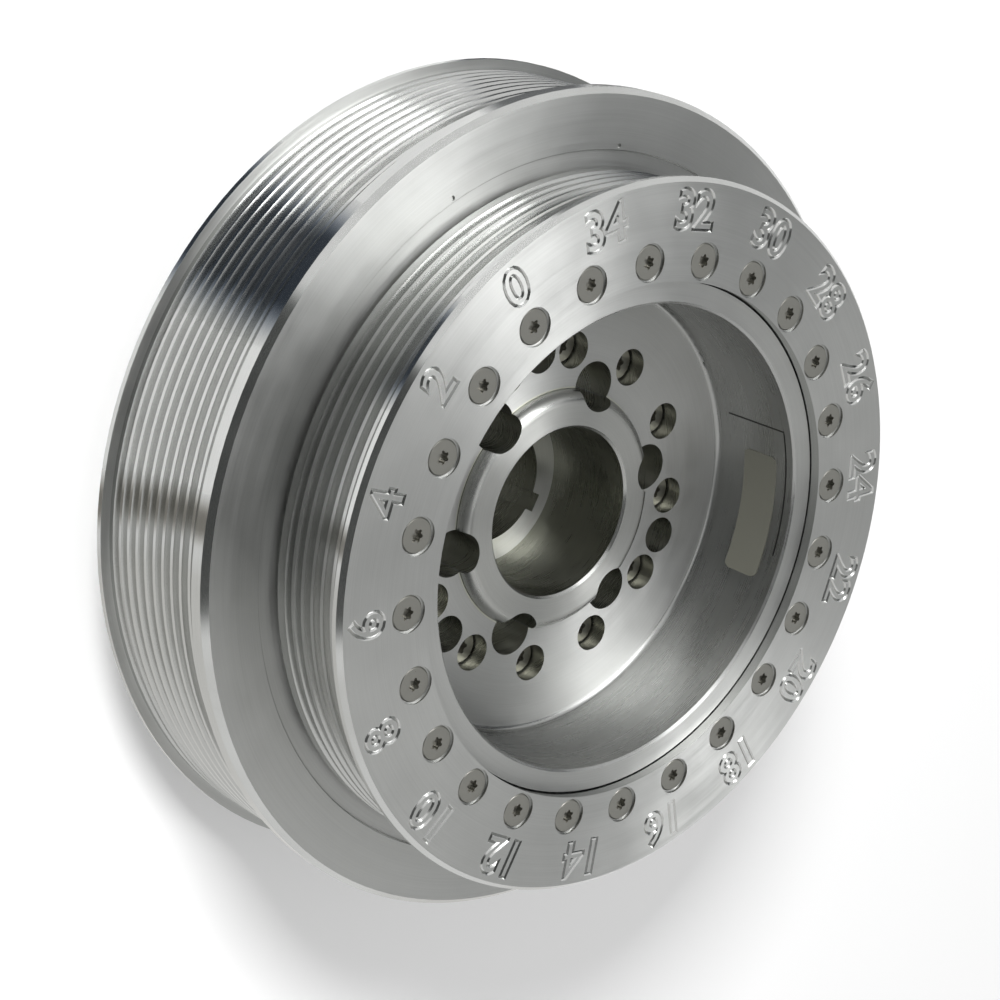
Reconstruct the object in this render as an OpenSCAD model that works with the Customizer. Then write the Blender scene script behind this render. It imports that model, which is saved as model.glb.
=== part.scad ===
// Two-stage crankshaft damper pulley, standing on the rear end of its hub.
// The crank axis is +Z and the front face is up. The origin is on the axis
// at the rear end of the hub. Angles run from a face screw, seen from the front.

/* [Belt grooves] */
// Distance from one belt groove to the next
groove_pitch = 3.56; // [3.2:0.01:4.0]
// Depth of a belt groove below the rib tips
groove_depth = 2.8; // [2.0:0.05:3.2]
// Full angle between the two walls of a groove
groove_angle = 40; // [34:1:42]
// Width of the flat at the bottom of a groove
groove_root_w = 0.5; // [0.3:0.05:0.7]
// Plain ledge between a flange and its nearest groove
ledge_w = 0.9; // [0.4:0.1:1.2]

/* [Front pulley] */
// Diameter of the front flange, which is also the face ring
front_flange_d = 177.8; // [170:0.2:186]
// Height of the front flange above the rib tips
front_flange_h = 3.1; // [2:0.1:4]
// Thickness of the front flange
front_flange_w = 2.4; // [2:0.1:3]
// Number of belt grooves in the front pulley
front_grooves = 6; // [5:1:7]
// Plain land behind the last groove of the front pulley
land_w = 2.1; // [1.2:0.1:2.6]
// Length of the relief between that land and the rear pulley
relief_w = 1.64; // [1.2:0.01:3]
// Depth of that relief below the rib tips
relief_depth = 2.8; // [2:0.1:4]
// Chamfer round the front face
face_chamfer = 1.1; // [0.4:0.1:1.6]
// Gap between the rim of the shell and the face ring
face_gap = 0.3; // [0.2:0.1:1.5]

/* [Rear pulley] */
// Height of the two rear flanges above the rib tips
rear_flange_h = 2.4; // [2:0.1:3.4]
// Thickness of the wide flange at the front of the rear pulley
wide_flange_w = 4.9; // [4:0.1:6]
// Thickness of the flange at its rear
rear_flange_w = 1.9; // [1.4:0.1:2.6]
// Number of belt grooves in the rear pulley
rear_grooves = 10; // [10:1:12]
// Wall between the rear plate and the rib tips
rear_wall = 7.3; // [6:0.1:9]
// Chamfer round the wide flange
wide_chamfer = 1.4; // [0.4:0.1:2]
// Bevel round the rear face
rear_bevel = 0.4; // [0.2:0.1:0.8]
// Gap between the front flange and the edge of its shallow seat
seat_gap = 0.9; // [0.5:0.1:1.5]
// Depth of that seat
seat_depth = 0.6; // [0.3:0.1:1.2]
// Bevel round the edge of that seat
seat_bevel = 0.3; // [0.1:0.1:0.6]
// Thickness of the shoulder in front of the damper cavity
shoulder_t = 12; // [10:0.5:14]
// Gap between the wall of the shell and that shoulder
shoulder_gap = 1.2; // [0.8:0.1:2]
// Diameter of a centre mark drilled in the wide face
centre_mark_d = 1.2; // [0.8:0.1:2]
// Depth of a centre mark
centre_mark_depth = 0.5; // [0.3:0.1:1]
// Distance from the edge of the seat out to the middle of a centre mark
centre_mark_offset = 1.2; // [1.2:0.1:3]
// Angle of the first centre mark
centre_mark_angle = 320; // [0:1:359]
// Angle from the first centre mark to the second
centre_mark_step = 33; // [20:1:60]

/* [Shell] */
// Outer diameter of the rim and wall
rim_d = 128.2; // [122:0.1:136]
// Drop from the front face to the rim
rim_drop = 2.8; // [1:0.1:4]
// Thickness of the bowl's wall
bowl_wall = 5.7; // [4:0.1:8]
// Depth of the bowl from the rim to the web
bowl_depth = 27.3; // [24:0.1:29]
// Fillet between the bowl wall and the web
bowl_fillet = 1.6; // [0.5:0.1:3]
// Bevel round the mouth of the bowl
mouth_bevel = 0.6; // [0.2:0.1:1.2]
// Thickness of the web
web_t = 14; // [13:0.2:15]
// Thickness of the drive flange inside the damper cavity
drive_flange_t = 12; // [11.5:0.1:13]

/* [Crank hub] */
// Diameter of the nose that shows through the web
nose_d = 61.8; // [58:0.2:66]
// Height of the nose above the web
nose_h = 3.4; // [3.2:0.1:5]
// Radius of the rounded edge of the nose
nose_round = 3.0; // [1:0.1:3.1]
// Bore for the bolt head and washer
washer_bore_d = 43.6; // [40:0.2:46]
// Depth of that bore from the nose to the washer seat
washer_bore_depth = 26.8; // [20:0.2:30]
// Bore for the crankshaft
crank_bore_d = 31.75; // [30:0.05:34]
// Width of the keyway
key_w = 4.76; // [4:0.01:6.35]
// Depth of the keyway beyond the crank bore
key_depth = 2.4; // [1.5:0.1:3]
// Angle of the keyway
key_angle = 210; // [0:1:359]
// Thickness of the flange behind the web
hub_flange_t = 12; // [11:0.2:14]
// Land between the puller holes and the edge of that flange
hub_flange_land = 2.95; // [2:0.05:5]
// Wall of the seal journal round the crank bore
journal_wall = 9.125; // [7:0.125:10]
// Length of the journal behind the rear pulley
journal_len = 22; // [10:0.5:30]
// Lead-in chamfer at the end of the journal
journal_chamfer = 1.5; // [0.5:0.1:2.5]
// Bevel round the bores of the hub
bore_bevel = 0.6; // [0.2:0.1:1]

/* [Web holes] */
// Number of large holes cut through the edge of the nose
large_count = 6; // [3:1:6]
// Diameter of a large hole
large_d = 12.1; // [11:0.1:12.6]
// Distance from the edge of the nose out to the middle of a large hole
large_offset = 1.5; // [0.5:0.1:2]
// Number of puller holes
puller_count = 3; // [3:1:3]
// Diameter of a puller hole
puller_d = 9.5; // [8:0.1:9.8]
// Distance from the circle of the hub screws out to that of the puller holes
puller_offset = 0.7; // [0:0.1:1.2]

/* [Hub screws] */
// Number of screws that hold the shell to the hub
hub_screw_count = 12; // [6:6:12]
// Distance from the circle of the large holes out to that of the hub screws
hub_screw_offset = 8.2; // [8:0.1:9]
// Diameter of the head
hub_head_d = 8.5; // [8:0.1:8.8]
// Height of the head
hub_head_h = 5; // [4:0.1:5.4]
// Gap between the head and its counterbore
hub_head_gap = 0.5; // [0.2:0.05:0.6]
// Drop from the web to the top of the head
hub_head_drop = 4.6; // [3:0.1:5]
// Diameter of the shank
hub_shank_d = 5; // [4:0.1:5.4]
// Length of the shank under the head
hub_shank_len = 14; // [11:0.5:15]

/* [Face screws] */
// Number of screws round the face ring
face_screw_count = 24; // [12:12:24]
// Distance from the bore of the face ring out to the circle of its screws
face_screw_offset = 5.1; // [4.8:0.1:6]
// Diameter of the head
face_head_d = 8.5; // [7.8:0.1:8.7]
// Gap between the head and its seat
face_head_gap = 0.4; // [0.2:0.05:0.5]
// Thickness of the cylindrical edge of the head
face_head_edge = 0.4; // [0.4:0.1:0.8]
// Bevel round the top of the head
face_head_bevel = 0.3; // [0.1:0.05:0.3]
// Drop from the front face to the top of the head
face_head_drop = 0.4; // [0.2:0.1:0.8]
// Diameter of the shank
face_shank_d = 4.2; // [3.8:0.1:4.6]
// Length of the shank under the cone
face_shank_len = 33; // [30:0.5:35]
// Distance across the points of the six-lobe recess
lobe_d = 3.35; // [2.8:0.05:3.9]
// Depth of that recess
lobe_depth = 1.4; // [0.8:0.1:2]

/* [Rear plate] */
// Thickness of the plate that closes the damper cavity
plate_t = 7; // [6:0.2:8]
// Width of the ledge that the plate is screwed to
plate_ledge = 8.5; // [7:0.1:10]
// Gap between the bore of the plate and the flange of the hub
plate_bore_gap = 13; // [6:0.5:16]
// Number of screws in the plate
plate_screw_count = 12; // [6:1:24]
// Diameter of their countersunk heads
plate_head_d = 7.2; // [7:0.1:7.6]
// Diameter of their shanks
plate_shank_d = 4; // [3.6:0.1:4.4]
// Length of their shanks under the cone
plate_shank_len = 12; // [10:0.5:14]

/* [Damper rings] */
// Cord diameter of the rubber rings on the two faces of the drive flange
face_cord_d = 3.9; // [3.6:0.1:4.2]
// Cord diameter of the rubber rings round the drive flange
rim_cord_d = 3.4; // [3:0.1:3.6]
// Squeeze gap between the drive flange and each wall of the cavity
cavity_gap = 3; // [2.6:0.1:3.2]
// Gap between the edge of the drive flange and the cavity
rim_gap = 2.5; // [2.2:0.1:2.8]
// Distance from the wall of the shell out to the inner face ring
inner_cord_offset = 5.9; // [4:0.1:8]
// Distance from the inner face ring out to the outer one
cord_spacing = 8.5; // [7:0.1:10]
// Distance from the outer face ring out to the edge of the drive flange
drive_edge = 5.5; // [4.5:0.1:8]
// Distance between the two rings round the drive flange
rim_cord_spacing = 6; // [5.2:0.1:7]
// Play of a rubber ring along its groove, on each side
cord_side_gap = 0.3; // [0.1:0.05:0.5]

/* [Fits] */
// Gap between faces that slide into each other
fit = 0.1; // [0.05:0.01:0.2]
// Gap between a screw and its thread
thread_fit = 0.05; // [0.03:0.01:0.1]
// Gap between a screw and its clearance hole
hole_fit = 0.3; // [0.15:0.05:0.5]
// Length that a tapped hole goes on past the end of its screw
drill_spare = 1; // [0.5:0.1:2]

/* [Hidden] */
$fn = 180;
// How far a cutting shape runs past the face that it cuts
past = 1;
// Overlap that joins two shapes of one solid
join = 0.01;

// Lengths along the axis
front_len = front_flange_w + ledge_w + front_grooves * groove_pitch + land_w + relief_w;
rear_len = wide_flange_w + 2 * ledge_w + rear_grooves * groove_pitch + rear_flange_w;
cavity_depth = drive_flange_t + 2 * cavity_gap;

// Heights of the main planes above the rear end of the hub
z_back = journal_len;
z_seat = z_back + rear_len;
z_face = z_seat + front_len;
z_rim = z_face - rim_drop;
z_web = z_rim - bowl_depth;
z_nose = z_web + nose_h;
z_washer = z_nose - washer_bore_depth;
z_hub_flange = z_web - web_t;
z_cavity = z_seat - seat_depth - shoulder_t;
z_plate = z_cavity - cavity_depth;
z_drive_top = z_cavity - cavity_gap;
z_drive = z_drive_top - drive_flange_t;

// Diameters from the wall of the shell outwards
bowl_d = rim_d - 2 * bowl_wall;
face_bore_d = rim_d + 2 * face_gap;
shoulder_bore_d = rim_d + 2 * shoulder_gap;
face_screw_pcd = face_bore_d + 2 * face_screw_offset;
inner_cord_pcd = rim_d + 2 * inner_cord_offset;
outer_cord_pcd = inner_cord_pcd + 2 * cord_spacing;
drive_flange_d = outer_cord_pcd + 2 * drive_edge;
cavity_d = drive_flange_d + 2 * rim_gap;
plate_d = cavity_d + 2 * plate_ledge;
plate_screw_pcd = cavity_d + plate_ledge;
rear_tip_d = plate_d + 2 * rear_wall;
rear_flange_d = rear_tip_d + 2 * rear_flange_h;
front_tip_d = front_flange_d - 2 * front_flange_h;
relief_d = front_tip_d - 2 * relief_depth;
seat_d = front_flange_d + 2 * seat_gap;
centre_mark_pcd = seat_d + 2 * centre_mark_offset;

// Diameters from the nose outwards
large_pcd = nose_d + 2 * large_offset;
hub_screw_pcd = large_pcd + 2 * hub_screw_offset;
puller_pcd = hub_screw_pcd + 2 * puller_offset;
hub_flange_d = puller_pcd + puller_d + 2 * hub_flange_land;
plate_bore_d = hub_flange_d + 2 * plate_bore_gap;
journal_d = crank_bore_d + 2 * journal_wall;

// Seats of the screws
hub_cbore_d = hub_head_d + 2 * hub_head_gap;
hub_cbore_depth = hub_head_drop + hub_head_h;
face_seat_d = face_head_d + 2 * face_head_gap;

// Angles of the holes in the web, halfway between face screws
large_angle = 180 / face_screw_count;
hub_screw_angle = large_angle + 180 / hub_screw_count;
puller_angle = large_angle + 90;

// Depth of the grooves that hold the rubber rings
face_cord_groove = face_cord_d + fit - cavity_gap;
rim_cord_groove = rim_cord_d + fit - rim_gap;

// Heights and middle circle of the rubber rings
z_front_cord = z_cavity - fit / 2 - face_cord_d / 2;
z_rear_cord = z_plate + fit / 2 + face_cord_d / 2;
z_rim_cord = z_drive + drive_flange_t / 2;
rim_cord_pcd = cavity_d - fit - rim_cord_d;

// Width of a belt groove at the rib tips
groove_top_w = groove_root_w + 2 * groove_depth * tan(groove_angle / 2);

// Copies of its children round the axis
module around(count, pcd, first = 0) {
    for (i = [0 : count - 1])
        rotate([0, 0, first + i * 360 / count])
            translate([pcd / 2, 0, 0])
                children();
}

// Section of a row of belt grooves, cut inwards from the rib tips
module groove_row(count, tip_d, z_top) {
    tip = tip_d / 2;
    for (i = [0 : count - 1]) {
        z = z_top - (i + 0.5) * groove_pitch;
        slope = (groove_top_w - groove_root_w) / 2 / groove_depth;
        polygon([
            [tip - groove_depth, z - groove_root_w / 2],
            [tip - groove_depth, z + groove_root_w / 2],
            [tip + past, z + groove_top_w / 2 + slope * past],
            [tip + past, z - groove_top_w / 2 - slope * past]
        ]);
    }
}

// Countersunk screw with its head up and the top of the head at z = 0
module flat_screw(head_d, head_edge, bevel, shank_d, shank_len, recess_d, recess_depth) {
    cone_h = (head_d - shank_d) / 2;
    tip = shank_d / 6;
    difference() {
        rotate_extrude()
            polygon(concat(
                [[0, 0], [head_d / 2 - bevel, 0]],
                bevel > 0 ? [[head_d / 2, -bevel], [head_d / 2, -head_edge]] : [],
                [
                    [shank_d / 2, -head_edge - cone_h],
                    [shank_d / 2, -head_edge - cone_h - shank_len + tip],
                    [shank_d / 2 - tip, -head_edge - cone_h - shank_len],
                    [0, -head_edge - cone_h - shank_len]
                ]
            ));
        six_lobe(recess_d, recess_depth);
    }
}

// Six-lobe recess, open at z = 0
module six_lobe(across, depth) {
    lobe = across / 8;
    translate([0, 0, -depth])
        linear_extrude(depth + past) {
            circle(d = across * 0.74, $fn = 48);
            for (i = [0 : 5])
                rotate(60 * i)
                    translate([across / 2 - lobe, 0])
                        circle(r = lobe, $fn = 24);
        }
}

// Hole for a countersunk screw, with the seat's mouth at z = 0
module flat_seat(seat_d, head_d, head_edge, drop, shank_d, hole_len) {
    cone_h = (head_d - shank_d) / 2;
    hole_d = shank_d + 2 * hole_fit;
    floor_z = -drop - head_edge - thread_fit;
    cone_end = floor_z - cone_h + hole_fit;
    translate([0, 0, floor_z])
        cylinder(d = seat_d, h = past - floor_z);
    rotate_extrude()
        polygon([
            [0, floor_z + join],
            [head_d / 2, floor_z + join],
            [head_d / 2, floor_z],
            [hole_d / 2, cone_end],
            [hole_d / 2, -hole_len],
            [0, -hole_len]
        ]);
}

module crank_hub() {
    color("#6d6f68")
    difference() {
        rotate_extrude() {
            difference() {
                union() {
                    translate([0, z_hub_flange - join])
                        square([nose_d / 2 - nose_round, z_nose - z_hub_flange + join]);
                    translate([0, z_hub_flange - join])
                        square([nose_d / 2, z_nose - nose_round - z_hub_flange + join]);
                    translate([nose_d / 2 - nose_round, z_nose - nose_round])
                        circle(r = nose_round, $fn = 64);
                    translate([0, z_hub_flange - hub_flange_t])
                        square([hub_flange_d / 2, hub_flange_t]);
                    polygon([
                        [0, 0],
                        [journal_d / 2 - journal_chamfer, 0],
                        [journal_d / 2, journal_chamfer],
                        [journal_d / 2, z_hub_flange],
                        [0, z_hub_flange]
                    ]);
                }
                polygon([
                    [-past, z_washer],
                    [washer_bore_d / 2, z_washer],
                    [washer_bore_d / 2, z_nose - bore_bevel],
                    [washer_bore_d / 2 + bore_bevel + past, z_nose + past],
                    [-past, z_nose + past]
                ]);
                polygon([
                    [-past, -past],
                    [crank_bore_d / 2 + bore_bevel + past, -past],
                    [crank_bore_d / 2, bore_bevel],
                    [crank_bore_d / 2, z_washer + join],
                    [-past, z_washer + join]
                ]);
            }
        }
        rotate([0, 0, key_angle])
            translate([0, -key_w / 2, -past])
                cube([crank_bore_d / 2 + key_depth, key_w, z_washer + 2 * past]);
        around(large_count, large_pcd, large_angle)
            translate([0, 0, z_hub_flange - hub_flange_t - past])
                cylinder(d = large_d, h = z_nose - z_hub_flange + hub_flange_t + 2 * past);
        around(puller_count, puller_pcd, puller_angle)
            translate([0, 0, z_hub_flange - hub_flange_t - past])
                cylinder(d = puller_d, h = hub_flange_t + 2 * past);
        around(hub_screw_count, hub_screw_pcd, hub_screw_angle)
            translate([0, 0, z_hub_flange - hub_flange_t - past])
                cylinder(d = hub_shank_d + 2 * thread_fit, h = hub_flange_t + 2 * past);
    }
}

module hub_shell() {
    wall_r = bowl_d / 2;
    color("#b9bab8")
    difference() {
        rotate_extrude() {
            difference() {
                union() {
                    translate([0, z_drive])
                        square([rim_d / 2, z_rim - z_drive]);
                    translate([0, z_drive])
                        square([drive_flange_d / 2, drive_flange_t]);
                }
                polygon([
                    [-past, z_web],
                    [wall_r - bowl_fillet, z_web],
                    [wall_r - bowl_fillet, z_web + bowl_fillet],
                    [wall_r, z_web + bowl_fillet],
                    [wall_r, z_rim - mouth_bevel],
                    [wall_r + mouth_bevel + past, z_rim + past],
                    [-past, z_rim + past]
                ]);
                translate([wall_r - bowl_fillet, z_web + bowl_fillet])
                    circle(r = bowl_fillet, $fn = 64);
                translate([-past, z_drive - past])
                    square([hub_flange_d / 2 + past + fit, z_hub_flange - z_drive + past]);
                translate([-past, z_hub_flange - past])
                    square([nose_d / 2 + past + fit, web_t + 2 * past]);
                cord_grooves();
            }
        }
        around(large_count, large_pcd, large_angle)
            translate([0, 0, z_hub_flange - past])
                cylinder(d = large_d, h = web_t + 2 * past);
        around(puller_count, puller_pcd, puller_angle)
            translate([0, 0, z_hub_flange - past])
                cylinder(d = puller_d, h = web_t + 2 * past);
        around(hub_screw_count, hub_screw_pcd, hub_screw_angle) {
            translate([0, 0, z_web - hub_cbore_depth])
                cylinder(d = hub_cbore_d, h = hub_cbore_depth + past);
            translate([0, 0, z_hub_flange - past])
                cylinder(d = hub_shank_d + 2 * hole_fit, h = web_t);
        }
    }
}

// Sections of the grooves that hold the rubber rings in the drive flange
module cord_grooves() {
    face_w = face_cord_d + 2 * cord_side_gap;
    rim_w = rim_cord_d + 2 * cord_side_gap;
    for (pcd = [inner_cord_pcd, outer_cord_pcd]) {
        translate([pcd / 2 - face_w / 2, z_drive_top - face_cord_groove])
            square([face_w, face_cord_groove + past]);
        translate([pcd / 2 - face_w / 2, z_drive - past])
            square([face_w, face_cord_groove + past]);
    }
    for (side = [-1, 1])
        translate([drive_flange_d / 2 - rim_cord_groove,
                   z_drive + drive_flange_t / 2 + side * rim_cord_spacing / 2 - rim_w / 2])
            square([rim_cord_groove + past, rim_w]);
}

module hub_screws() {
    color("#8a8b84")
    around(hub_screw_count, hub_screw_pcd, hub_screw_angle)
        translate([0, 0, z_web - hub_cbore_depth])
            difference() {
                union() {
                    cylinder(d = hub_head_d, h = hub_head_h, $fn = 64);
                    translate([0, 0, -hub_shank_len])
                        cylinder(d = hub_shank_d, h = hub_shank_len + join, $fn = 64);
                }
                translate([0, 0, hub_head_h])
                    six_lobe(hub_head_d * 0.52, hub_head_h / 2);
            }
}

module front_pulley() {
    flange_r = front_flange_d / 2;
    tip_r = front_tip_d / 2;
    z_low = z_seat - seat_depth;
    z_groove_top = z_face - front_flange_w - ledge_w;
    z_land = z_groove_top - front_grooves * groove_pitch - land_w;
    color("#c4c5c3")
    difference() {
        rotate_extrude()
            difference() {
                polygon([
                    [face_bore_d / 2, z_low],
                    [relief_d / 2, z_low],
                    [relief_d / 2, z_land],
                    [tip_r, z_land],
                    [tip_r, z_face - front_flange_w],
                    [flange_r, z_face - front_flange_w],
                    [flange_r, z_face - face_chamfer],
                    [flange_r - face_chamfer, z_face],
                    [face_bore_d / 2, z_face]
                ]);
                groove_row(front_grooves, front_tip_d, z_groove_top);
            }
        around(face_screw_count, face_screw_pcd)
            translate([0, 0, z_face])
                flat_seat(face_seat_d, face_head_d, face_head_edge, face_head_drop,
                          face_shank_d, z_face - z_low + past);
    }
}

module rear_pulley() {
    flange_r = rear_flange_d / 2;
    tip_r = rear_tip_d / 2;
    z_groove_top = z_seat - wide_flange_w - ledge_w;
    z_low_flange = z_groove_top - rear_grooves * groove_pitch - ledge_w;
    tapped = face_shank_len + (face_head_d - face_shank_d) / 2 + face_head_edge + face_head_drop;
    plate_tapped = plate_shank_len + (plate_head_d - plate_shank_d) / 2 - plate_t;
    color("#bfc0be")
    difference() {
        rotate_extrude()
            difference() {
                polygon([
                    [shoulder_bore_d / 2, z_seat - seat_depth],
                    [seat_d / 2, z_seat - seat_depth],
                    [seat_d / 2, z_seat - seat_bevel],
                    [seat_d / 2 + seat_bevel, z_seat],
                    [flange_r - wide_chamfer, z_seat],
                    [flange_r, z_seat - wide_chamfer],
                    [flange_r, z_seat - wide_flange_w],
                    [tip_r, z_seat - wide_flange_w],
                    [tip_r, z_low_flange],
                    [flange_r, z_low_flange],
                    [flange_r, z_back + rear_bevel],
                    [flange_r - rear_bevel, z_back],
                    [plate_d / 2 + fit, z_back],
                    [plate_d / 2 + fit, z_plate],
                    [cavity_d / 2, z_plate],
                    [cavity_d / 2, z_cavity],
                    [shoulder_bore_d / 2, z_cavity]
                ]);
                groove_row(rear_grooves, rear_tip_d, z_groove_top);
            }
        around(face_screw_count, face_screw_pcd)
            translate([0, 0, z_face - tapped - drill_spare])
                cylinder(d = face_shank_d + 2 * thread_fit, h = tapped);
        around(plate_screw_count, plate_screw_pcd)
            translate([0, 0, z_plate - past])
                cylinder(d = plate_shank_d + 2 * thread_fit, h = plate_tapped + past + drill_spare);
        for (angle = [centre_mark_angle, centre_mark_angle + centre_mark_step])
            around(1, centre_mark_pcd, angle)
                translate([0, 0, z_seat - centre_mark_depth])
                    cylinder(d = centre_mark_d, h = centre_mark_depth + past);
    }
}

module face_screws() {
    color("#a8a79f")
    around(face_screw_count, face_screw_pcd)
        translate([0, 0, z_face - face_head_drop])
            flat_screw(face_head_d, face_head_edge, face_head_bevel, face_shank_d,
                       face_shank_len, lobe_d, lobe_depth);
}

module rear_plate() {
    color("#8f908c")
    difference() {
        translate([0, 0, z_plate - plate_t])
            cylinder(d = plate_d, h = plate_t);
        translate([0, 0, z_plate - plate_t - past])
            cylinder(d = plate_bore_d, h = plate_t + 2 * past);
        around(plate_screw_count, plate_screw_pcd)
            translate([0, 0, z_plate - plate_t])
                rotate([180, 0, 0])
                    flat_seat(plate_head_d + 2 * fit, plate_head_d, 0, 0,
                              plate_shank_d, plate_t + past);
    }
}

module plate_screws() {
    color("#a8a79f")
    around(plate_screw_count, plate_screw_pcd)
        translate([0, 0, z_plate - plate_t])
            rotate([180, 0, 0])
                flat_screw(plate_head_d, 0, 0, plate_shank_d, plate_shank_len,
                           lobe_d, lobe_depth / 2);
}

// Rubber ring with a round cord, centred on height z
module cord_ring(cord_d, pcd, z) {
    color("#23241f")
    translate([0, 0, z])
        rotate_extrude()
            translate([pcd / 2, 0])
                circle(d = cord_d, $fn = 48);
}

module front_inner_ring() {
    cord_ring(face_cord_d, inner_cord_pcd, z_front_cord);
}

module front_outer_ring() {
    cord_ring(face_cord_d, outer_cord_pcd, z_front_cord);
}

module rear_inner_ring() {
    cord_ring(face_cord_d, inner_cord_pcd, z_rear_cord);
}

module rear_outer_ring() {
    cord_ring(face_cord_d, outer_cord_pcd, z_rear_cord);
}

module rim_ring_front() {
    cord_ring(rim_cord_d, rim_cord_pcd, z_rim_cord + rim_cord_spacing / 2);
}

module rim_ring_rear() {
    cord_ring(rim_cord_d, rim_cord_pcd, z_rim_cord - rim_cord_spacing / 2);
}

crank_hub();
hub_shell();
hub_screws();
front_pulley();
rear_pulley();
face_screws();
rear_plate();
plate_screws();
front_inner_ring();
front_outer_ring();
rear_inner_ring();
rear_outer_ring();
rim_ring_front();
rim_ring_rear();
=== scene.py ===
import math

import bmesh
import bpy
import numpy as np
from mathutils import Matrix, Vector


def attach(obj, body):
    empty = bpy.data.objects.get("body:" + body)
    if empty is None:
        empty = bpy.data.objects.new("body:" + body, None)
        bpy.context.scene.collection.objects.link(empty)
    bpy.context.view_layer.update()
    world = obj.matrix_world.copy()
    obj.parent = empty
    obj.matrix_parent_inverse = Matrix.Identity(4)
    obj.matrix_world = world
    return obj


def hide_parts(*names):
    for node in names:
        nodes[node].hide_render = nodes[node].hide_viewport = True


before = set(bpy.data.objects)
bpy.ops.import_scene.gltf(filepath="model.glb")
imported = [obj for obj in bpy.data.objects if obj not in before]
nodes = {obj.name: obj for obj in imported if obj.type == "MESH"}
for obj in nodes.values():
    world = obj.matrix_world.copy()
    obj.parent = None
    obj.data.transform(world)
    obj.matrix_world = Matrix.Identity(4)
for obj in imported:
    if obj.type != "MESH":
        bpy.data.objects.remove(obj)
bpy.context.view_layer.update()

mm = 0.001


def linear(hexColour):
    # sRGB hex to the linear values that Blender's sockets take
    channels = [int(hexColour[i:i + 2], 16) / 255 for i in (1, 3, 5)]
    return [c / 12.92 if c <= 0.04045 else ((c + 0.055) / 1.055) ** 2.4 for c in channels] + [1.0]


def addNode(tree, kind, inputs=None, **settings):
    node = tree.nodes.new(kind)
    for name, value in settings.items():
        setattr(node, name, value)
    for socket, value in (inputs or {}).items():
        if isinstance(value, bpy.types.NodeSocket):
            tree.links.new(value, node.inputs[socket])
        else:
            node.inputs[socket].default_value = value
    return node


def newMaterial(name):
    material = bpy.data.materials.new(name)
    material.use_nodes = True
    material.node_tree.nodes.clear()
    return material, material.node_tree


def assign(nodeName, material):
    mesh = nodes[nodeName].data
    mesh.materials.clear()
    mesh.materials.append(material)


def addObject(name, data):
    made = bpy.data.objects.new(name, data)
    bpy.context.scene.collection.objects.link(made)
    return made


# Camera, in the row's frame
cameraPlace = {
    "location": (377.4, 224.8, 480.7),  # mm
    "right": (-0.35387, -0.67031, 0.65227),
    "up": (0.70576, -0.64899, -0.28406),
    "back": (0.61373, 0.35983, 0.70275),
    "lens": 87.9,  # mm, on a 36 mm sensor
}


def makeCamera():
    data = bpy.data.cameras.new("camera")
    data.lens = cameraPlace["lens"]
    data.sensor_width = 36
    data.clip_start = 0.01
    data.clip_end = 20
    camera = addObject("camera", data)
    turn = Matrix([cameraPlace["right"], cameraPlace["up"], cameraPlace["back"]]).transposed()
    camera.matrix_world = Matrix.Translation(Vector(cameraPlace["location"]) * mm) @ turn.to_4x4()
    bpy.context.scene.camera = camera


# Turned metal: concentric tool marks stretch every highlight across them
turnedLook = {
    # roughness of the flat faces and of the sides, depth of the tool marks in microns, painted shade
    # that darkens the colour of the sides; "hole" is the colour of the walls of holes inside "holeRadius"
    # and above "holeFrom" mm, or inside "boreRadius", and of the seam inside "seam"
    "front_pulley": {"name": "turnedSteelFront", "colour": "#c7c8c6", "face": 0.40, "side": 0.16,
                     "marks": 1.2, "paintedSideShade": 1.0},
    "rear_pulley": {"name": "turnedSteelRear", "colour": "#c7c8c6", "face": 0.40, "side": 0.16,
                    "marks": 1.2, "paintedSideShade": 1.0},
    "hub_shell": {"name": "turnedAluminium", "colour": "#c7c8c6", "face": 0.44, "side": 0.28,
                  "marks": 1.6, "paintedSideShade": 0.72, "hole": "#d8d9cc", "holeRadius": 50, "holeFrom": 41,
                  "seam": 31.35},
    # the crank hub's darker olive "hole" colour is partly the steel's own tint and partly painted shade in its
    # holes and bore
    "crank_hub": {"name": "turnedSteelHub", "colour": "#c4c5c2", "face": 0.40, "side": 0.28,
                  "marks": 1.6, "paintedSideShade": 0.85, "hole": "#adaea2", "holeRadius": 30.6, "holeFrom": 41,
                  "boreRadius": 22.3},
    "rear_plate": {"name": "turnedSteelPlate", "colour": "#bcbdba", "face": 0.42, "side": 0.34,
                   "marks": 1.6, "paintedSideShade": 0.9},
}


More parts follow.
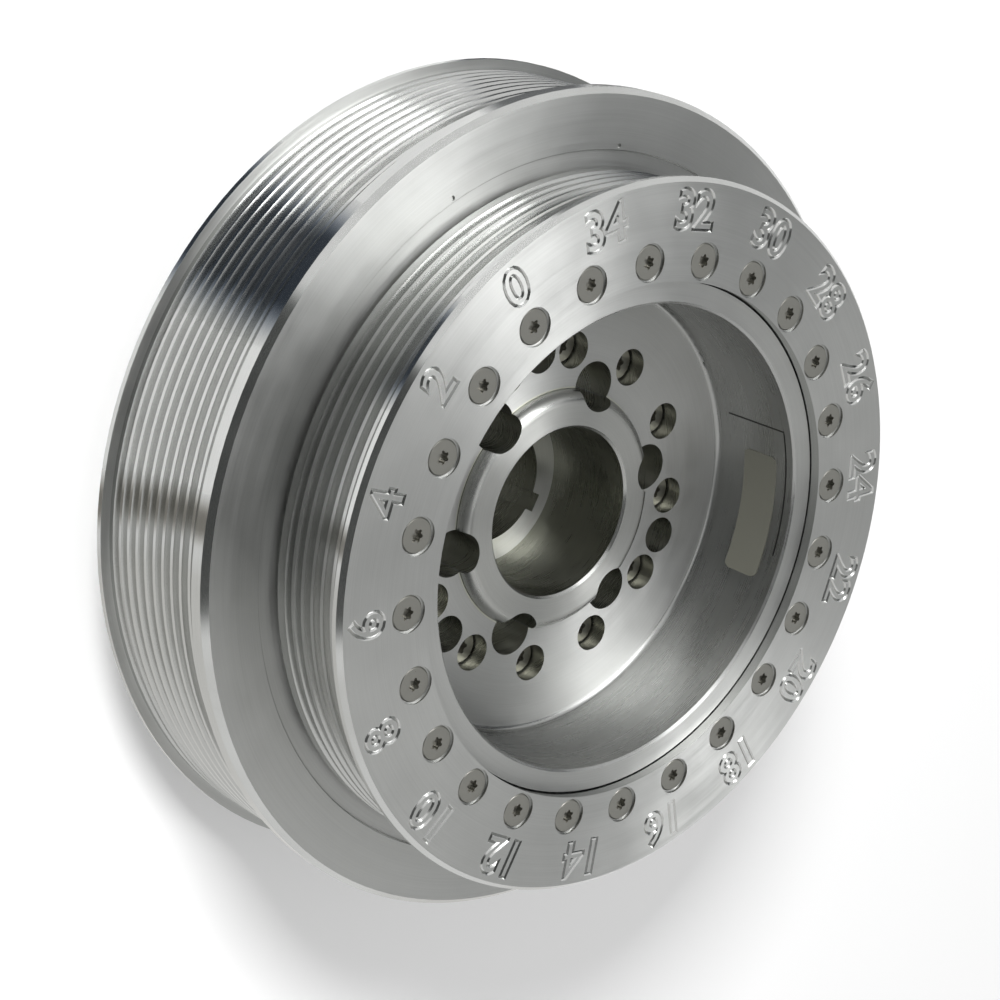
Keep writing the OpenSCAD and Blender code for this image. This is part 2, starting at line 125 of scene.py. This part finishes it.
def turnedMetal(look):
    material, tree = newMaterial(look["name"])

    def math2(kind, first, second):
        return addNode(tree, "ShaderNodeMath", {0: first, 1: second}, operation=kind).outputs[0]

    def fromTo(value, low, high, toLow, toHigh):
        return addNode(tree, "ShaderNodeMapRange", {"Value": value, "From Min": low, "From Max": high,
                                                    "To Min": toLow, "To Max": toHigh}).outputs[0]

    place = addNode(tree, "ShaderNodeTexCoord").outputs["Object"]
    normal = addNode(tree, "ShaderNodeNewGeometry").outputs["Normal"]
    flat = addNode(tree, "ShaderNodeVectorMath", {0: place, 1: (1, 1, 0)}, operation="MULTIPLY")
    radius = addNode(tree, "ShaderNodeVectorMath", {0: flat.outputs[0]},
                     operation="LENGTH").outputs["Value"]
    outward = addNode(tree, "ShaderNodeVectorMath", {0: flat.outputs[0]}, operation="NORMALIZE")
    tangent = addNode(tree, "ShaderNodeVectorMath", {0: (0, 0, 1), 1: outward.outputs[0]},
                      operation="CROSS_PRODUCT")
    height = addNode(tree, "ShaderNodeSeparateXYZ", {0: place}).outputs["Z"]
    upright = addNode(tree, "ShaderNodeSeparateXYZ", {0: normal}).outputs["Z"]
    upright = addNode(tree, "ShaderNodeMath", {0: upright}, operation="ABSOLUTE").outputs[0]
    isFace = fromTo(upright, 0.96, 0.99, 0.0, 1.0)
    across = math2("ADD", radius, height)
    # tool marks some 0.3 mm apart that run on for about 25 degrees, and passes of the tool 4 mm apart
    turned = addNode(tree, "ShaderNodeVectorMath", {0: outward.outputs[0], 1: (2.4, 2.4, 0.0)},
                     operation="MULTIPLY")
    lift = addNode(tree, "ShaderNodeCombineXYZ", {"Z": math2("MULTIPLY", across, 3400.0)})
    polar = addNode(tree, "ShaderNodeVectorMath", {0: turned.outputs[0], 1: lift.outputs[0]},
                    operation="ADD")
    streak = addNode(tree, "ShaderNodeTexNoise", {"Vector": polar.outputs[0], "Scale": 1.0,
                                                  "Detail": 3.0, "Roughness": 0.6}).outputs["Fac"]
    broad = addNode(tree, "ShaderNodeTexNoise", {"W": across, "Scale": 250.0, "Detail": 3.0},
                    noise_dimensions="1D").outputs["Fac"]
    # handling marks some 15 mm across
    smudge = addNode(tree, "ShaderNodeTexNoise", {"Vector": place, "Scale": 70.0, "Detail": 3.0}).outputs["Fac"]
    rough = fromTo(isFace, 0.0, 1.0, look["side"], look["face"])
    rough = math2("MULTIPLY", rough, fromTo(broad, 0.0, 1.0, 0.85, 1.15))
    rough = math2("MULTIPLY", rough, fromTo(smudge, 0.3, 0.7, 0.90, 1.12))
    rough = math2("MULTIPLY", rough, fromTo(streak, 0.3, 0.7, 0.90, 1.10))
    bump = addNode(tree, "ShaderNodeBump", {"Height": math2("ADD", streak, broad), "Strength": isFace,
                                            "Distance": look["marks"] * 1e-6})
    # colour tone of the handling and tool marks, times painted shade that darkens the sides
    toneAndPaintedShade = math2("MULTIPLY", fromTo(smudge, 0.3, 0.7, 0.93, 1.0), fromTo(streak, 0.3, 0.7, 0.91, 1.0))
    toneAndPaintedShade = math2("MULTIPLY", toneAndPaintedShade, fromTo(isFace, 0.0, 1.0, look["paintedSideShade"], 1.0))
    colour = linear(look["colour"])
    # walls of holes and bores and the seam take the "hole" colour; on the crank hub it is partly the steel's
    # own tint and partly painted shade
    if "hole" in look:
        inHole = math2("MULTIPLY", math2("LESS_THAN", radius, look["holeRadius"] * mm),
                       math2("GREATER_THAN", height, look["holeFrom"] * mm))
        if "boreRadius" in look:
            inHole = math2("MAXIMUM", inHole, math2("LESS_THAN", radius, look["boreRadius"] * mm))
        inHole = math2("MULTIPLY", inHole, math2("LESS_THAN", upright, 0.1))
        if "seam" in look:
            inHole = math2("MAXIMUM", inHole, math2("LESS_THAN", radius, look["seam"] * mm))
        colour = addNode(tree, "ShaderNodeMix", {"Factor": inHole, "A": colour,
                                                 "B": linear(look["hole"])}, data_type="RGBA")
        colour = colour.outputs["Result"]
    colour = addNode(tree, "ShaderNodeMix", {"Factor": 1.0, "A": colour, "B": toneAndPaintedShade},
                     data_type="RGBA", blend_type="MULTIPLY")
    shader = addNode(tree, "ShaderNodeBsdfPrincipled", {
        "Base Color": colour.outputs["Result"], "Metallic": 1.0, "Roughness": rough,
        "Anisotropic": 0.85, "Anisotropic Rotation": 0.25, "Tangent": tangent.outputs[0],
        "Normal": bump.outputs[0]})
    addNode(tree, "ShaderNodeOutputMaterial", {"Surface": shader.outputs[0]})
    return material


def plainMetal(name, colour, roughness, spread=0.06, grainSize=0.7):
    material, tree = newMaterial(name)
    place = addNode(tree, "ShaderNodeTexCoord").outputs["Object"]
    grain = addNode(tree, "ShaderNodeTexNoise", {"Vector": place, "Scale": 1000 / grainSize, "Detail": 3.0})
    rough = addNode(tree, "ShaderNodeMapRange", {"Value": grain.outputs["Fac"], "To Min": roughness - spread,
                                                 "To Max": roughness + spread})
    shader = addNode(tree, "ShaderNodeBsdfPrincipled", {
        "Base Color": linear(colour), "Metallic": 1.0, "Roughness": rough.outputs[0]})
    addNode(tree, "ShaderNodeOutputMaterial", {"Surface": shader.outputs[0]})
    return material


def rubberMaterial():
    material, tree = newMaterial("nitrileRubber")
    place = addNode(tree, "ShaderNodeTexCoord").outputs["Object"]
    grain = addNode(tree, "ShaderNodeTexNoise", {"Vector": place, "Scale": 900.0, "Detail": 3.0})
    rough = addNode(tree, "ShaderNodeMapRange", {"Value": grain.outputs["Fac"], "To Min": 0.55,
                                                 "To Max": 0.7})
    shader = addNode(tree, "ShaderNodeBsdfPrincipled", {
        "Base Color": linear("#1c1c1a"), "Roughness": rough.outputs[0], "IOR": 1.52})
    addNode(tree, "ShaderNodeOutputMaterial", {"Surface": shader.outputs[0]})
    return material


# Front pulley with plain numerals cut into its face
frontPulley = {
    "flange": 177.8, "tips": 171.6, "bore": 128.8, "relief": 166.0,  # diameters, mm
    "face": 94.6, "foot": 65.6, "flangeWidth": 2.4, "ledge": 0.9, "land": 2.1, "chamfer": 1.1,  # mm
    "grooves": 6, "pitch": 3.56, "depth": 2.8, "wallAngle": 20, "root": 0.5,
    "segments": 480,
}
numerals = {"count": 18, "step": 2, "radius": 81.3, "height": 13.0, "bold": 0.32, "cut": 0.42}  # mm
screwSeats = {"count": 24, "circle": 139.0, "seat": 9.3, "floor": 0.85, "head": 8.5, "hole": 4.8,  # mm
              "segments": 48}


def revolve(name, outline, segments):
    # a closed outline of (radius, height) carried round the axis: x = r cos t, y = r sin t, z = h
    outline = np.array(outline) * mm
    turn = np.arange(segments) * 2 * math.pi / segments
    radius, height = outline[:, 0, None], outline[:, 1, None]
    points = np.stack([radius * np.cos(turn), radius * np.sin(turn), height + 0 * turn], axis=2)
    rows = len(outline)
    i, j = np.meshgrid(np.arange(rows), np.arange(segments), indexing="ij")
    nextI, nextJ = (i + 1) % rows, (j + 1) % segments
    quads = np.stack([i * segments + j, i * segments + nextJ, nextI * segments + nextJ,
                      nextI * segments + j], axis=2).reshape(-1, 4)
    mesh = bpy.data.meshes.new(name)
    mesh.from_pydata(points.reshape(-1, 3), [], quads)
    mesh.update()
    return mesh


def pulleyOutline(p):
    tip, slope = p["tips"] / 2, math.tan(math.radians(p["wallAngle"]))
    flange = p["flange"] / 2
    top = p["face"] - p["flangeWidth"] - p["ledge"]
    line = [(p["bore"] / 2, p["foot"]), (p["bore"] / 2, p["face"])]
    line += [(flange - p["chamfer"], p["face"]), (flange, p["face"] - p["chamfer"]),
             (flange, p["face"] - p["flangeWidth"]), (tip, p["face"] - p["flangeWidth"])]
    for k in range(p["grooves"]):
        middle = top - (k + 0.5) * p["pitch"]
        half = p["root"] / 2
        wide = half + p["depth"] * slope
        line += [(tip, middle + wide), (tip - p["depth"], middle + half),
                 (tip - p["depth"], middle - half), (tip, middle - wide)]
    landEnd = top - p["grooves"] * p["pitch"] - p["land"]
    line += [(tip, landEnd), (p["relief"] / 2, landEnd), (p["relief"] / 2, p["foot"])]
    return line[::-1]


def joinObjects(shapes):
    with bpy.context.temp_override(active_object=shapes[0], selected_editable_objects=shapes):
        bpy.ops.object.join()
    return shapes[0]


def cutAway(body, cutter):
    cut = body.modifiers.new("cut", "BOOLEAN")
    cut.operation = "DIFFERENCE"
    cut.object = cutter
    cut.solver = "EXACT"
    cut.use_self = True
    bpy.context.view_layer.update()
    finished = bpy.data.meshes.new_from_object(body.evaluated_get(bpy.context.evaluated_depsgraph_get()))
    body.modifiers.clear()
    body.data = finished
    bpy.data.objects.remove(cutter)


def numeralCutter():
    # each numeral's outline carries a thin square tube, which leaves a V-shaped cut in the face
    shapes = []
    for k in range(numerals["count"]):
        curve = bpy.data.curves.new("numeral", "FONT")
        curve.body = str(k * numerals["step"])
        curve.size = numerals["height"] * mm
        curve.align_x = curve.align_y = "CENTER"
        curve.offset = numerals["bold"] * mm
        curve.resolution_u = 4
        curve.fill_mode = "NONE"
        curve.bevel_depth = numerals["cut"] * mm
        curve.bevel_resolution = 0
        text = addObject("numeral", curve)
        bpy.context.view_layer.update()
        mesh = bpy.data.meshes.new_from_object(text.evaluated_get(bpy.context.evaluated_depsgraph_get()))
        bpy.data.objects.remove(text)
        flat = np.zeros(len(mesh.vertices) * 3)
        mesh.vertices.foreach_get("co", flat)
        flat = flat.reshape(-1, 3)
        turn = 2 * math.pi * k / numerals["count"]
        out, side = np.array([math.cos(turn), math.sin(turn)]), np.array([math.sin(turn), -math.cos(turn)])
        low, high = flat[:, 1].min(), flat[:, 1].max()
        up = flat[:, 1] - (low + high) / 2 + numerals["radius"] * mm
        middle = (flat[:, 0].min() + flat[:, 0].max()) / 2
        spot = up[:, None] * out + (flat[:, 0] - middle)[:, None] * side
        place = np.column_stack([spot, flat[:, 2] + frontPulley["face"] * mm])
        mesh.vertices.foreach_set("co", place.ravel())
        mesh.update()
        shapes.append(addObject("cutter", mesh))
    return joinObjects(shapes)


def seatCutter():
    # a stepped spindle under each screw: the seat, the cone for its head and the hole for its shank
    s, face = screwSeats, frontPulley["face"]
    floor = face - s["floor"]
    coneEnd = floor - (s["head"] - s["hole"]) / 2
    outline = [(s["seat"] / 2, face + 1), (s["seat"] / 2, floor), (s["head"] / 2, floor),
               (s["hole"] / 2, coneEnd), (s["hole"] / 2, frontPulley["foot"] - 1)]
    shapes = []
    for k in range(s["count"]):
        turn = 2 * math.pi * k / s["count"]
        centre = Vector((math.cos(turn), math.sin(turn), 0)) * s["circle"] / 2
        made = bmesh.new()
        rings = []
        for radius, height in outline:
            ring = []
            for j in range(s["segments"]):
                t = 2 * math.pi * j / s["segments"]
                spot = centre + Vector((radius * math.cos(t), radius * math.sin(t), height))
                ring.append(made.verts.new(spot * mm))
            rings.append(ring)
        for upper, lower in zip(rings, rings[1:]):
            for j in range(s["segments"]):
                after = (j + 1) % s["segments"]
                made.faces.new((upper[j], lower[j], lower[after], upper[after]))
        made.faces.new(rings[0])
        made.faces.new(rings[-1][::-1])
        mesh = bpy.data.meshes.new("seat")
        made.to_mesh(mesh)
        made.free()
        shapes.append(addObject("cutter", mesh))
    return joinObjects(shapes)


def sharpenEdges(body, angle):
    # smooth shading, apart from edges whose faces meet at more than the angle
    made = bmesh.new()
    made.from_mesh(body.data)
    limit = math.radians(angle)
    for face in made.faces:
        face.smooth = True
    for edge in made.edges:
        edge.smooth = len(edge.link_faces) == 2 and edge.calc_face_angle(0) < limit
    made.to_mesh(body.data)
    made.free()


def makeFrontPulley():
    body = addObject("numberedPulley", revolve("numberedPulley", pulleyOutline(frontPulley),
                                               frontPulley["segments"]))
    cutAway(body, seatCutter())
    cutAway(body, numeralCutter())
    sharpenEdges(body, 25)
    body.data.materials.clear()
    body.data.materials.append(turnedMetal(turnedLook["front_pulley"]))
    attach(body, "root")
    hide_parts("front_pulley")


# Bare label, and the frame scribed round it drawn as thin near-black sheets of painted shade, on the wall of
# the bowl
wallMarks = {
    # angles round the axis, heights, corner radius and thickness in mm
    "bareLabel": {"from": -145.0, "to": -113.0, "low": 74.5, "high": 85.5, "corner": 1.5, "thick": 0.25,
                  "material": "satinLabelFilm", "colour": "#6e6e65", "metallic": 0.35},
    # the frame's near-black colour is painted shade in the scribed line
    "frameTop": {"from": -138.0, "to": -104.4, "low": 88.6, "high": 89.1, "corner": 0.1, "thick": 0.03,
                 "material": "scribedLineShade", "colour": "#141412", "metallic": 0.0},
    "frameSide": {"from": -104.9, "to": -104.4, "low": 69.5, "high": 88.8, "corner": 0.05, "thick": 0.03,
                  "material": "scribedLineShade", "colour": "#141412", "metallic": 0.0},
    "wall": 58.4,
}


def markMaterial(mark):
    material, tree = newMaterial(mark["material"])
    place = addNode(tree, "ShaderNodeTexCoord").outputs["Object"]
    grain = addNode(tree, "ShaderNodeTexNoise", {"Vector": place, "Scale": 400.0, "Detail": 4.0})
    rough = addNode(tree, "ShaderNodeMapRange", {"Value": grain.outputs["Fac"], "To Min": 0.34,
                                                 "To Max": 0.5})
    shader = addNode(tree, "ShaderNodeBsdfPrincipled", {
        "Base Color": linear(mark["colour"]), "Metallic": mark["metallic"], "Roughness": rough.outputs[0]})
    addNode(tree, "ShaderNodeOutputMaterial", {"Surface": shader.outputs[0]})
    return material


def makeWallMark(name):
    # a rectangle with rounded corners, u along the wall and v up it, bent to the wall's radius:
    # x = r cos(u / wall), y = r sin(u / wall), z = v
    mark, wall = wallMarks[name], wallMarks["wall"]
    corner = mark["corner"]
    start, end = math.radians(mark["from"]) * wall, math.radians(mark["to"]) * wall
    u = np.linspace(start, end, 49)
    inset = np.minimum(np.minimum(u - start, end - u), corner)
    drop = (corner - np.sqrt(corner ** 2 - (corner - inset) ** 2)) * 0.98
    points = []
    for r in (wall - mark["thick"], wall - 0.01):
        for v in (mark["low"] + drop, mark["high"] - drop):
            points.append(np.column_stack([r * np.cos(u / wall), r * np.sin(u / wall), v]) * mm)
    # four rows of points: front low, front high, back low, back high
    i, n = np.arange(48), 49
    faces = [[k + a * n, k + 1 + a * n, k + 1 + b * n, k + b * n]
             for a, b in ((0, 1), (1, 3), (3, 2), (2, 0)) for k in i]
    faces += [[0, n, 3 * n, 2 * n], [48, 48 + 2 * n, 48 + 3 * n, 48 + n]]
    mesh = bpy.data.meshes.new(name)
    mesh.from_pydata(np.concatenate(points), [], faces)
    fixed = bmesh.new()
    fixed.from_mesh(mesh)
    bmesh.ops.recalc_face_normals(fixed, faces=fixed.faces)
    fixed.to_mesh(mesh)
    fixed.free()
    body = addObject(name, mesh)
    sharpenEdges(body, 30)
    body.data.materials.append(markMaterial(mark))
    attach(body, "root")


# Studio: pale floor, white surroundings, softboxes, and grey cards that only the metal sees
studio = {
    "floorSize": 12.0,  # m
    "floorColour": "#fcfcfc",
    "worldLevel": 0.62,
    "whiteShare": 0.1,  # how much of the floor seen by the camera is plain white
    "whiteFrom": 300,  # mm from the axis, where that share begins to grow
    "whiteTo": 800,  # mm from the axis, where the floor is plain white
    "middle": 60,  # mm above the floor
    "lamps": [
        # name, way to its middle, way along its length, distance, length and width in mm, watts
        ("keyStrip", (0.25, -0.43, 0.87), (1.0, 0.0, -0.33), 1500, 1150, 600, 11.0),
        ("lowBox", (-0.92, -0.36, 0.14), (0.36, -0.92, 0.0), 1500, 520, 420, 2.0),
    ],
    "shadowLamp": ((0.83, 0.04, 0.56), 1600, 320, 28.0),  # way, distance and width in mm, watts
    "cards": [
        # name, azimuth from and to, elevation from and to, soft edge in degrees, grey, tint
        ("cameraSideCard", 5, 91, 12, 66, 6, 0.10, "#eef2f0"),
        ("farCardLeft", 96, 186, 20, 66, 4, 0.86, "#eeeae0"),
        ("farCard", 184, 236, 20, 66, 4, 0.52, "#eceeec"),
        ("cornerCard", 229, 266, 10, 54, 5, 0.05, "#b4c4d8"),
        ("aboveCard", 225, 320, 76, 84, 3, 0.10, "#b8c8dc"),
        ("topCard", 120, 228, 65, 79, 2.5, 0.07, "#e6eaea"),
    ],
    "cardRadius": 1700,  # mm
    "floorCards": [
        # name, azimuth from and to in degrees, radius from and to in mm, soft edge, grey, tint
        ("floorCardRight", -6, 25, 108, 520, 9, 0.10, "#a8bcd8"),
        ("floorCardFront", -62, -36, 130, 520, 5, 0.28, "#dce0e4"),
        # a dark strip right beside the part: painted shadow of the part on the floor, which only reflections
        # show
        ("floorShadowCardNear", -116, -38, 104, 134, 6, 0.06, "#d8dce2"),
        ("floorCardLeft", 52, 62, 108, 520, 4, 0.34, "#e8e0d0"),
        ("floorCardBack", 62, 176, 108, 520, 6, 0.84, "#e6dcc6"),
    ],
}


def onlyReflected(thing):
    thing.visible_camera = False
    thing.visible_diffuse = False
    thing.visible_shadow = False
    thing.visible_transmission = False
    thing.visible_volume_scatter = False


def softLevel(angles, low, high, soft, level):
    # white at the two ends of a card, and its own grey from the soft edge inwards
    inside = np.clip(np.minimum(angles - low, high - angles) / soft, 0, 1)
    return 1 - (1 - level) * inside * inside * (3 - 2 * inside)


def greyCard(name, points, levels, tint):
    # a grid of points, each with its level of grey, which takes the tint as it darkens
    rows, columns = levels.shape
    i, j = np.meshgrid(np.arange(rows - 1), np.arange(columns - 1), indexing="ij")
    k = i * columns + j
    quads = np.stack([k, k + 1, k + columns + 1, k + columns], axis=2).reshape(-1, 4)
    mesh = bpy.data.meshes.new(name)
    mesh.from_pydata(points.reshape(-1, 3), [], quads)
    mesh.attributes.new("level", "FLOAT", "POINT").data.foreach_set("value", levels.ravel())
    material, tree = newMaterial(name)
    level = addNode(tree, "ShaderNodeAttribute", attribute_name="level")
    hue = addNode(tree, "ShaderNodeMix", {"Factor": level.outputs["Fac"], "A": linear(tint),
                                          "B": (1, 1, 1, 1)}, data_type="RGBA")
    glow = addNode(tree, "ShaderNodeEmission", {"Color": hue.outputs["Result"],
                                                "Strength": level.outputs["Fac"]})
    addNode(tree, "ShaderNodeOutputMaterial", {"Surface": glow.outputs[0]})
    mesh.materials.append(material)
    card = addObject(name, mesh)
    onlyReflected(card)


def makeCards():
    # part of a sphere round the part: x = r cos a cos e, y = r sin a cos e, z = r sin e
    r, lift = studio["cardRadius"] * mm, studio["middle"] * mm
    for name, a0, a1, e0, e1, soft, level, tint in studio["cards"]:
        a, e = np.meshgrid(np.linspace(a0, a1, 49), np.linspace(e0, min(e1, 89.9), 33), indexing="ij")
        aside = softLevel(a, a0, a1, soft, 0.0) if a1 - a0 < 360 else np.zeros_like(a)
        above = softLevel(e, e0, e1 if e1 < 90 else 180, soft, 0.0)
        levels = level + (1 - level) * np.maximum(aside, above)
        a, e = np.radians(a), np.radians(e)
        points = np.stack([r * np.cos(a) * np.cos(e), r * np.sin(a) * np.cos(e), r * np.sin(e) + lift], axis=2)
        greyCard(name, points, levels, tint)
    # strips on the floor: x = r cos a, y = r sin a, just above it
    for name, a0, a1, r0, r1, soft, level, tint in studio["floorCards"]:
        a, far = np.meshgrid(np.linspace(a0, a1, 49), np.linspace(r0, r1, 3) * mm, indexing="ij")
        levels = softLevel(a, a0, a1, soft, level)
        a = np.radians(a)
        points = np.stack([far * np.cos(a), far * np.sin(a), 0.5 * mm + 0 * a], axis=2)
        greyCard(name, points, levels, tint)


def seenByMetal(tree):
    # 1 where the camera, a reflection or a view through glass meets the background
    path = addNode(tree, "ShaderNodeLightPath")
    seen = addNode(tree, "ShaderNodeMath", {0: path.outputs["Is Camera Ray"],
                                            1: path.outputs["Is Glossy Ray"]}, operation="MAXIMUM")
    return addNode(tree, "ShaderNodeMath", {0: seen.outputs[0], 1: path.outputs["Is Transmission Ray"]},
                   operation="MAXIMUM").outputs[0]


def makeStudio():
    size = studio["floorSize"] / 2
    mesh = bpy.data.meshes.new("floor")
    mesh.from_pydata([(-size, -size, 0), (size, -size, 0), (size, size, 0), (-size, size, 0)], [],
                     [(0, 1, 2, 3)])
    addObject("floor", mesh)
    material, tree = newMaterial("paleFloor")
    place = addNode(tree, "ShaderNodeNewGeometry")
    reach = addNode(tree, "ShaderNodeVectorMath", {0: place.outputs["Position"]}, operation="LENGTH")
    fade = addNode(tree, "ShaderNodeMapRange", {"Value": reach.outputs["Value"],
                                                "From Min": studio["whiteFrom"] * mm,
                                                "From Max": studio["whiteTo"] * mm,
                                                "To Min": studio["whiteShare"], "To Max": 1.0},
                   interpolation_type="SMOOTHSTEP")
    share = addNode(tree, "ShaderNodeMath", {0: seenByMetal(tree), 1: fade.outputs[0]},
                    operation="MULTIPLY")
    matt = addNode(tree, "ShaderNodeBsdfDiffuse", {"Color": linear(studio["floorColour"])})
    white = addNode(tree, "ShaderNodeEmission", {"Color": (1, 1, 1, 1), "Strength": 1.0})
    both = addNode(tree, "ShaderNodeMixShader", {0: share.outputs[0], 1: matt.outputs[0],
                                                 2: white.outputs[0]})
    addNode(tree, "ShaderNodeOutputMaterial", {"Surface": both.outputs[0]})
    mesh.materials.append(material)

    world = bpy.data.worlds.new("studioWorld")
    world.use_nodes = True
    tree = world.node_tree
    tree.nodes.clear()
    level = addNode(tree, "ShaderNodeMapRange", {"Value": seenByMetal(tree),
                                                 "To Min": studio["worldLevel"], "To Max": 1.0})
    glow = addNode(tree, "ShaderNodeBackground", {"Color": (1, 1, 1, 1), "Strength": level.outputs[0]})
    addNode(tree, "ShaderNodeOutputWorld", {"Surface": glow.outputs[0]})
    bpy.context.scene.world = world

    middle = Vector((0, 0, studio["middle"])) * mm
    for name, way, along, distance, length, width, power in studio["lamps"]:
        data = bpy.data.lights.new(name, "AREA")
        data.shape = "RECTANGLE"
        data.size = length * mm
        data.size_y = width * mm
        data.energy = power
        lamp = addObject(name, data)
        away = Vector(way).normalized()
        lengthWay = Vector(along)
        lengthWay = (lengthWay - away * lengthWay.dot(away)).normalized()
        turn = Matrix([lengthWay, away.cross(lengthWay), away]).transposed()
        lamp.matrix_world = Matrix.Translation(middle + away * distance * mm) @ turn.to_4x4()
        lamp.visible_diffuse = False
    way, distance, width, power = studio["shadowLamp"]
    data = bpy.data.lights.new("shadowLamp", "AREA")
    data.size = width * mm
    data.energy = power
    lamp = addObject("shadowLamp", data)
    away = Vector(way).normalized()
    lamp.matrix_world = (Matrix.Translation(middle + away * distance * mm)
                         @ away.to_track_quat("Z", "Y").to_matrix().to_4x4())
    lamp.visible_glossy = False
    makeCards()


print("camera")
makeCamera()
print("materials")
for nodeName in ("rear_pulley", "hub_shell", "crank_hub", "rear_plate"):
    assign(nodeName, turnedMetal(turnedLook[nodeName]))
assign("front_pulley", plainMetal("hiddenPulleySteel", "#b6b7b5", 0.3))
assign("face_screws", plainMetal("screwSteel", "#9c9b95", 0.32, 0.08, 0.4))
assign("hub_screws", plainMetal("capScrewSteel", "#95948d", 0.36, 0.08, 0.4))
assign("plate_screws", plainMetal("plateScrewSteel", "#9c9b95", 0.32, 0.08, 0.4))
rubber = rubberMaterial()
for nodeName in ("front_inner_ring", "front_outer_ring", "rear_inner_ring", "rear_outer_ring",
                 "rim_ring_front", "rim_ring_rear"):
    assign(nodeName, rubber)
print("front pulley with numerals")
makeFrontPulley()
print("label and its frame")
for markName in ("bareLabel", "frameTop", "frameSide"):
    makeWallMark(markName)
print("studio")
makeStudio()

bpy.context.scene.view_settings.view_transform = "Standard"
